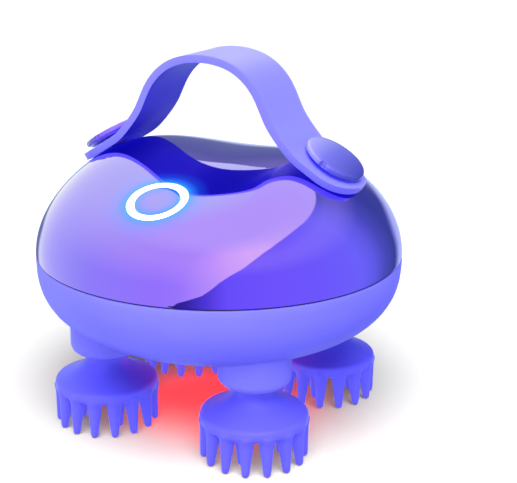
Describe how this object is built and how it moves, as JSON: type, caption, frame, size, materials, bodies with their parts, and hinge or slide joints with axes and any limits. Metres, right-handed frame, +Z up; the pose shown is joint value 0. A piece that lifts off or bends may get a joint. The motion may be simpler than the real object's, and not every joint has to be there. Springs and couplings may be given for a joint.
{
  "type": "scalp massager brush",
  "caption": "Round palm-held scalp massager: turning pronged heads under a two-shell body, finger strap over a saddle top, and a push button with a light ring.",
  "frame": {"origin": "on the surface that the prong tips stand on, under the middle of the body", "axes": "+Z up, X along the strap, -Y towards the side with the power button"},
  "size_m": [0.12, 0.12, 0.1215],
  "materials": {
    "violet_gloss": "tinted high gloss, mirror-like",
    "button_gloss": "high gloss",
    "soft_violet": "soft-touch matt",
    "strap_silicone": "matt silicone",
    "head_silicone": "matt silicone",
    "cap_gloss": "mirror gloss",
    "dark_rubber": "matt",
    "white_light": "glowing light guide",
    "red_lens": "translucent, lit from behind",
    "white_plastic": "satin moulding",
    "grey_plastic": "satin moulding",
    "steel": "machined",
    "bronze": "sintered",
    "board_green": "solder mask",
    "battery_wrap": "shrink sleeve"
  },
  "bodies": {
    "casing": {"upper_shell": "violet_gloss", "lower_shell": "soft_violet", "strap_handle": "strap_silicone", "strap_cap_left": "cap_gloss", "strap_cap_right": "cap_gloss", "seam_gasket": "dark_rubber", "spindle_seal_front_left": "dark_rubber", "spindle_seal_front_right": "dark_rubber", "spindle_seal_back_right": "dark_rubber", "spindle_seal_back_left": "dark_rubber", "button_light_ring": "white_light", "lamp_lens": "red_lens", "battery_cradle": "grey_plastic", "motor_gearbox": "grey_plastic", "lower_gear_plate": "grey_plastic", "upper_gear_plate": "grey_plastic", "tact_switch": "grey_plastic", "strap_nut_left": "steel", "strap_nut_right": "steel", "drive_gear_axle": "steel", "motor_can": "steel", "charging_port": "steel", "case_screw_1": "steel", "case_screw_2": "steel", "case_screw_3": "steel", "case_screw_4": "steel", "plate_screw_1": "steel", "plate_screw_2": "steel", "plate_screw_3": "steel", "spindle_bush_front_left": "bronze", "spindle_bush_front_right": "bronze", "spindle_bush_back_right": "bronze", "spindle_bush_back_left": "bronze", "main_pcb": "board_green", "led_board": "board_green", "charge_board": "board_green", "battery_cell": "battery_wrap"},
    "button": {"power_button": "button_gloss"},
    "drive": {"drive_gear": "white_plastic"},
    "pinion": {"motor_pinion": "steel"},
    "plug": {"port_plug": "strap_silicone"},
    "spindle_front_left": {"spindle_shaft_front_left": "steel", "spindle_gear_front_left": "white_plastic"},
    "head_front_left": {"massage_head_front_left": "head_silicone", "head_hub_front_left": "white_plastic"},
    "spindle_front_right": {"spindle_shaft_front_right": "steel", "spindle_gear_front_right": "white_plastic"},
    "head_front_right": {"massage_head_front_right": "head_silicone", "head_hub_front_right": "white_plastic"},
    "spindle_back_right": {"spindle_shaft_back_right": "steel", "spindle_gear_back_right": "white_plastic"},
    "head_back_right": {"massage_head_back_right": "head_silicone", "head_hub_back_right": "white_plastic"},
    "spindle_back_left": {"spindle_shaft_back_left": "steel", "spindle_gear_back_left": "white_plastic"},
    "head_back_left": {"massage_head_back_left": "head_silicone", "head_hub_back_left": "white_plastic"}
  },
  "joints": [
    {"name": "button_press", "type": "slide", "parent": "casing", "child": "button", "axis": [0, 0.3522, -0.9359], "range_m": [0, 0.0008], "stiffness_N_per_m": 1500},
    {"name": "drive_spin", "type": "hinge", "parent": "casing", "child": "drive", "pos_m": [0, 0, 0.044], "axis": [0, 0, 1], "continuous": true},
    {"name": "pinion_spin", "type": "hinge", "parent": "casing", "child": "pinion", "pos_m": [0, 0.03403, 0.044], "axis": [0, 0, 1], "continuous": true},
    {"name": "spindle_spin_front_left", "type": "hinge", "parent": "casing", "child": "spindle_front_left", "pos_m": [-0.0275, -0.0275, 0.044], "axis": [0, 0, 1], "continuous": true},
    {"name": "spindle_spin_front_right", "type": "hinge", "parent": "casing", "child": "spindle_front_right", "pos_m": [0.0275, -0.0275, 0.044], "axis": [0, 0, 1], "continuous": true},
    {"name": "spindle_spin_back_right", "type": "hinge", "parent": "casing", "child": "spindle_back_right", "pos_m": [0.0275, 0.0275, 0.044], "axis": [0, 0, 1], "continuous": true},
    {"name": "spindle_spin_back_left", "type": "hinge", "parent": "casing", "child": "spindle_back_left", "pos_m": [-0.0275, 0.0275, 0.044], "axis": [0, 0, 1], "continuous": true},
    {"name": "head_pull_front_left", "type": "slide", "parent": "spindle_front_left", "child": "head_front_left", "axis": [0, 0, -1], "range_m": [0, 0.01]},
    {"name": "head_pull_front_right", "type": "slide", "parent": "spindle_front_right", "child": "head_front_right", "axis": [0, 0, -1], "range_m": [0, 0.01]},
    {"name": "head_pull_back_right", "type": "slide", "parent": "spindle_back_right", "child": "head_back_right", "axis": [0, 0, -1], "range_m": [0, 0.01]},
    {"name": "head_pull_back_left", "type": "slide", "parent": "spindle_back_left", "child": "head_back_left", "axis": [0, 0, -1], "range_m": [0, 0.01]},
    {"name": "plug_pull", "type": "slide", "parent": "casing", "child": "plug", "axis": [0, 1, 0], "range_m": [0, 0.008]}
  ],
  "couplings": [
    {"joint": "pinion_spin", "follows": "drive_spin", "ratio": -3.6667},
    {"joint": "spindle_spin_front_left", "follows": "drive_spin", "ratio": -2.2},
    {"joint": "spindle_spin_front_right", "follows": "drive_spin", "ratio": -2.2},
    {"joint": "spindle_spin_back_right", "follows": "drive_spin", "ratio": -2.2},
    {"joint": "spindle_spin_back_left", "follows": "drive_spin", "ratio": -2.2}
  ]
}
